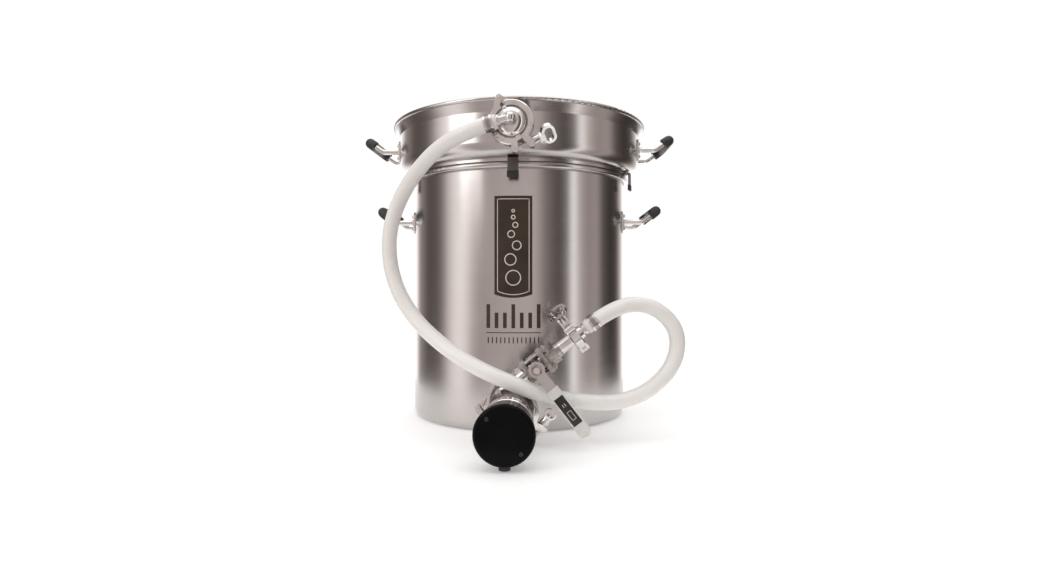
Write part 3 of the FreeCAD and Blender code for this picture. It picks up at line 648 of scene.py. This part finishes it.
def wall_strip(bm, points, width, radius, closed):
    """A flat strip that follows points (x, z) on the kettle's front, raised a little."""
    count = len(points)
    rings = []
    for i, (x, z) in enumerate(points):
        before = points[i - 1] if closed or i else points[i]
        after = points[(i + 1) % count] if closed or i < count - 1 else points[i]
        along = Vector((after[0] - before[0], after[1] - before[1])).normalized()
        side = Vector((-along.y, along.x)) * width / 2
        a = (x + side.x, z + side.y)
        b = (x - side.x, z - side.y)
        raised = radius + MARK_HEIGHT
        rings.append([
            on_wall(*a, radius), on_wall(*b, radius), on_wall(*b, raised), on_wall(*a, raised),
        ])
    swept_rings(bm, rings, closed=closed, cap=not closed)


def badge_outline(inset):
    """Points round the badge, a fixed distance inside its edge, with a bowed bottom."""
    low, high = BADGE
    x = high[0] - inset
    top = high[2] - inset
    bottom = low[2] + BADGE_BOW + inset
    across, up = 12, 24
    points = []
    for k in range(across + 1):
        share = 1 - 2 * k / across
        points.append((x * share, bottom - BADGE_BOW * (1 - share**2)))
    points += [(-x, bottom + (top - bottom) * k / up) for k in range(1, up)]
    points += [(-x + 2 * x * k / across, top) for k in range(across + 1)]
    points += [(x, top + (bottom - top) * k / up) for k in range(1, up)]
    return points


def ring_points(x, z, radius, count=32):
    return [
        (x + radius * math.cos(2 * math.pi * k / count), z + radius * math.sin(2 * math.pi * k / count))
        for k in range(count)
    ]


def make_badge_marks():
    """A pale border and a plain column of rising bubbles on the badge."""
    bm = bmesh.new()
    wall_strip(bm, badge_outline(BORDER_INSET), BORDER_WIDTH, BADGE_FACE_R, True)
    mesh_object("badge_border", bm, CREAM, "kettle")
    bm = bmesh.new()
    low, high = BADGE
    middle = (low[2] + high[2]) / 2
    for x, z, r in BUBBLES:
        wall_strip(bm, ring_points(x, middle + z, r), BUBBLE_LINE, BADGE_FACE_R, True)
    mesh_object("badge_bubbles", bm, CREAM, "kettle")


def make_wall_marks():
    """Plain etched marks below the badge: a row of bars, a rule and a row of ticks."""
    bm = bmesh.new()
    radius = KETTLE_R + 0.00005
    left, right = -MARKS_HALF, MARKS_HALF
    rule = [(left + (right - left) * k / 16, RULE_Z) for k in range(17)]
    wall_strip(bm, rule, RULE_WIDTH, radius, False)
    reach = MARKS_HALF - MARKS_MARGIN
    for k in range(BARS):
        x = -reach + 2 * reach * k / (BARS - 1)
        tall = BAR_SHORT if k % 3 else BAR_TALL
        wall_strip(bm, [(x, BAR_Z), (x, BAR_Z + tall)], BAR_WIDTH, radius, False)
    for k in range(TICKS):
        x = -reach + 2 * reach * k / (TICKS - 1)
        wall_strip(bm, [(x, TICK_Z), (x, TICK_Z + TICK_TALL)], TICK_WIDTH, radius, False)
    mesh_object("etched_marks", bm, ETCHED, "kettle", smooth=False)


# ---------------------------------------------------------------- small steel details


def make_threads():
    """A helical thread on the bare stretch of each clamp's swing bolt."""
    for name in ("port", "element", "outlet"):
        joint = JOINTS[name + "_nut_spin"]
        along = Vector(joint["axis"])
        side = Vector((0, 1, 0)) if abs(along.y) < 0.9 else Vector((1, 0, 0))
        matrix = frame_of(joint["pos_m"], side, along)
        steps = int((THREAD_END - THREAD_START) / THREAD_PITCH * THREAD_SIDES)
        shape = [
            (THREAD_ROOT, -0.42 * THREAD_PITCH), (THREAD_TIP, -0.08 * THREAD_PITCH),
            (THREAD_TIP, 0.08 * THREAD_PITCH), (THREAD_ROOT, 0.42 * THREAD_PITCH),
        ]
        bm = bmesh.new()
        rings = []
        for k in range(steps + 1):
            a = 2 * math.pi * k / THREAD_SIDES
            z = THREAD_START + (THREAD_END - THREAD_START) * k / steps
            points = [Vector((r * math.cos(a), r * math.sin(a), z + dz)) for r, dz in shape]
            rings.append([matrix @ point for point in points])
        swept_rings(bm, rings, cap=True)
        steel = MATERIALS["polished_steel"]
        mesh_object(name + "_bolt_thread", bm, steel, name + "_bolt")


def node_centre(name):
    low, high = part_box(name)
    return (Vector(low) + Vector(high)) / 2


def make_clamp_slot_shade(name, centre, along, body):
    """Painted shade: dark blocks on a hose clamp's band where its slots, which the screw runs in, show shade."""
    side = Vector((0, 0, 1)) if abs(along.z) < 0.9 else Vector((1, 0, 0))
    matrix = frame_of(centre, side, along)
    outward = Matrix.Translation((HOSE_R + SLOT_RISE, 0, 0))
    slant = Matrix.Rotation(SLOT_SLANT, 4, "X")
    bm = bmesh.new()
    for k in range(SLOTS):
        turn = Matrix.Rotation(2 * math.pi * k / SLOTS, 4, "Z")
        rounded_box(bm, matrix @ turn @ outward @ slant, SLOT_SIZE, 0.00008, 1)
    # painted shade: the slots' openings are filled with the black label material
    mesh_object(name, bm, LABEL_AND_SLOT_SHADE, body)


def make_hose_clamp_slot_shade():
    first = Vector(HOSE_ROUTE[1]) - Vector(HOSE_ROUTE[0])
    spot = Vector(HOSE_ROUTE[0]) + first.normalized() * PORT_CLAMP_ALONG
    make_clamp_slot_shade("port_clamp_slot_shade", spot, first.normalized(), "basket")
    flow = Vector((math.cos(FLOW_ANGLE), 0, math.sin(FLOW_ANGLE)))
    make_clamp_slot_shade("outlet_clamp_slot_shade", VALVE_AT + flow * OUTLET_CLAMP_ALONG, flow, "kettle")


def make_hook_tips():
    """Dark sleeves on the tips of the basket's rim hooks, in the grip material."""
    low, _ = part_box("rim_hooks")
    bm = bmesh.new()
    for k in range(HOOKS_ROUND):
        turn = Matrix.Rotation(math.radians(-90 + 360 * k / HOOKS_ROUND), 4, "Z")
        spot = turn @ Matrix.Translation((HOOK_R, 0, low[2] + HOOK_TIP_RISE))
        rounded_box(bm, spot, HOOK_TIP_SIZE, 0.0011, 3)
    mesh_object("hook_tips", bm, MATERIALS["grip_rubber"], "basket")


def make_wall_weld(name, port, wall_r, body, size, thick, waves, steps):
    """A bead round a port where it meets a round wall, a little uneven."""
    wave, count = waves
    centre = node_centre(port)
    rings = []
    for k in range(steps):
        a = 2 * math.pi * k / steps
        r = size * (1 + wave * math.sin(count * a))
        x = centre.x + r * math.cos(a)
        z = centre.z + r * math.sin(a)
        y = -math.sqrt(wall_r**2 - x * x)
        ring = []
        for i in range(8):
            t = 2 * math.pi * i / 8
            out = thick * math.cos(t)
            ring.append(Vector((x + out * math.cos(a), y - thick * math.sin(t), z + out * math.sin(a))))
        rings.append(ring)
    bm = bmesh.new()
    swept_rings(bm, rings, closed=True)
    mesh_object(name, bm, WELD, body)


def make_handle_welds(prefix, radius, body):
    """Beads round the handles' legs, where they meet their plates."""
    low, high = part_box(prefix + "_handle_plates")
    z = (low[2] + high[2]) / 2
    turn = math.asin(LEG_Y / radius)
    x = (radius + PLATE_FACE) * math.cos(turn)
    bm = bmesh.new()
    for side in (-1, 1):
        for end in (-1, 1):
            outward = (side * math.cos(turn), end * math.sin(turn), 0)
            matrix = frame_of((side * x, end * LEG_Y, z), (0, 1, 0), outward)
            bead(bm, matrix, 0.0044, 0.0011, 24)
    mesh_object(prefix + "_handle_welds", bm, WELD, body)


def make_welds():
    """Beads where the ports and the handles' legs are welded on."""
    make_wall_weld(
        "port_weld", "port_ferrule", COLLAR_R, "basket",
        size=0.0196, thick=0.0011, waves=(0.01, 7.3), steps=96,
    )
    make_wall_weld(
        "element_weld", "element_ferrule", KETTLE_R, "kettle",
        size=0.0260, thick=0.0013, waves=(0.008, 9.1), steps=120,
    )
    make_handle_welds("kettle", KETTLE_R, "kettle")
    make_handle_welds("basket", COLLAR_R, "basket")


def make_lever_label():
    """A black panel with a plain pale frame on the lever's sleeve."""
    down = Vector((math.sin(FLOW_ANGLE), 0, -math.cos(FLOW_ANGLE)))
    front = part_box("lever_sleeve")[0][1]
    centre = Vector((VALVE_AT.x, front, VALVE_AT.z)) + down * LABEL_ALONG
    matrix = frame_of(centre, down, (0, -1, 0))
    bm = bmesh.new()
    rounded_box(bm, matrix, LABEL_SIZE, 0.0003, 2)
    mesh_object("lever_label", bm, LABEL_AND_SLOT_SHADE, "valve_handle")
    bm = bmesh.new()
    for x, y, length, width in LABEL_LINES:
        at = matrix @ Matrix.Translation((x, y, LABEL_FACE))
        rounded_box(bm, at, (length, width, 0.0002), 0.00006, 1)
    mesh_object("lever_label_frame", bm, CREAM, "valve_handle")


# ---------------------------------------------------------------- floor and light


def make_stage():
    bm = bmesh.new()
    bmesh.ops.create_circle(bm, cap_ends=True, radius=FLOOR_R, segments=96)
    mesh = bpy.data.meshes.new("floor")
    bm.to_mesh(mesh)
    bm.free()
    floor = bpy.data.objects.new("floor", mesh)
    mesh.materials.append(studio_floor())
    bpy.context.scene.collection.objects.link(floor)


# The studio round the kettle as (degrees, brightness). 0 is in front, and degrees grow to the right.
STUDIO = [
    (-180, 1.6), (-150, 1.6), (-128, 0.36), (-108, 0.13), (-94, 0.16), (-85, 0.34), (-77, 0.90),
    (-69, 1.28), (-61, 1.38), (-54, 1.12), (-46, 0.64), (-38, 0.50), (-28, 0.58), (-8, 0.66),
    (18, 0.70), (32, 0.24), (45, 0.08), (54, 0.22), (61, 1.70), (69, 0.66), (80, 0.42), (92, 0.55),
    (104, 0.12), (118, 0.05), (131, 0.10), (144, 0.70), (156, 1.6), (180, 1.6),
]
CEILING = 1.0
BACKDROP = 1.02


def studio_angle(nodes, links, direction):
    """The angle of a direction round the kettle, from -pi to pi, and its height."""
    split = nodes.new("ShaderNodeSeparateXYZ")
    links.new(direction, split.inputs[0])
    flip = nodes.new("ShaderNodeMath")
    flip.operation = "MULTIPLY"
    flip.inputs[1].default_value = -1.0
    links.new(split.outputs["Y"], flip.inputs[0])
    angle = nodes.new("ShaderNodeMath")
    angle.operation = "ARCTAN2"
    links.new(split.outputs["X"], angle.inputs[0])
    links.new(flip.outputs[0], angle.inputs[1])
    return angle.outputs[0], split.outputs["Z"]


def spread(nodes, links, value, start, end):
    node = nodes.new("ShaderNodeMapRange")
    node.inputs["From Min"].default_value = start
    node.inputs["From Max"].default_value = end
    links.new(value, node.inputs["Value"])
    return node.outputs["Result"]


def make_world():
    """Pale panels with darker gaps between them, a bright ceiling, and a plain backdrop."""
    world = bpy.data.worlds.new("studio")
    bpy.context.scene.world = world
    world.use_nodes = True
    nodes, links = world.node_tree.nodes, world.node_tree.links
    background = nodes["Background"]
    angle, height = studio_angle(nodes, links, nodes.new("ShaderNodeTexCoord").outputs["Generated"])
    ramp = nodes.new("ShaderNodeValToRGB")
    ramp.color_ramp.interpolation = "EASE"
    stops = ramp.color_ramp.elements
    brightest = max(value for _, value in STUDIO)
    for k, (degrees, value) in enumerate(STUDIO):
        at = (degrees + 180) / 360
        stop = stops[k] if k < 2 else stops.new(at)
        stop.position = at
        level = value / brightest
        warmth = 0.16 * (1 - level)
        stop.color = (level, level * (0.985 - warmth), level * (0.98 - 1.4 * warmth), 1)
    links.new(spread(nodes, links, angle, -math.pi, math.pi), ramp.inputs["Fac"])
    roof = nodes.new("ShaderNodeMix")
    roof.data_type = "RGBA"
    links.new(spread(nodes, links, height, 0.45, 0.85), roof.inputs["Factor"])
    links.new(ramp.outputs["Color"], roof.inputs[6])
    roof.inputs[7].default_value = (*[CEILING / brightest] * 3, 1)
    links.new(roof.outputs[2], background.inputs["Color"])
    background.inputs["Strength"].default_value = brightest
    plain = nodes.new("ShaderNodeBackground")
    plain.inputs["Color"].default_value = (*[BACKDROP] * 3, 1)
    choose = nodes.new("ShaderNodeMixShader")
    links.new(nodes.new("ShaderNodeLightPath").outputs["Is Camera Ray"], choose.inputs[0])
    links.new(background.outputs[0], choose.inputs[1])
    links.new(plain.outputs[0], choose.inputs[2])
    links.new(choose.outputs[0], nodes["World Output"].inputs["Surface"])


def area_light(name, location, target, size, power, colour=(1, 1, 1)):
    data = bpy.data.lights.new(name, "AREA")
    data.shape = "RECTANGLE"
    data.size, data.size_y = size
    data.energy = power
    data.color = colour
    light = bpy.data.objects.new(name, data)
    light.location = location
    toward = Vector(target) - Vector(location)
    light.rotation_euler = toward.to_track_quat("-Z", "Y").to_euler()
    bpy.context.scene.collection.objects.link(light)


def make_lights():
    area_light("overhead", (0, -0.3, 2.4), (0, 0, 0.2), (2.4, 2.0), 12, (1.0, 0.99, 0.98))
    area_light("key_left", (-1.6, -1.5, 1.2), (0, 0, 0.25), (1.0, 1.0), 7, (1.0, 0.99, 0.98))


make_camera()
make_hose()
dress_nodes()
make_badge_marks()
make_wall_marks()
make_threads()
make_hose_clamp_slot_shade()
make_hook_tips()
make_welds()
make_lever_label()
make_stage()
make_world()
make_lights()
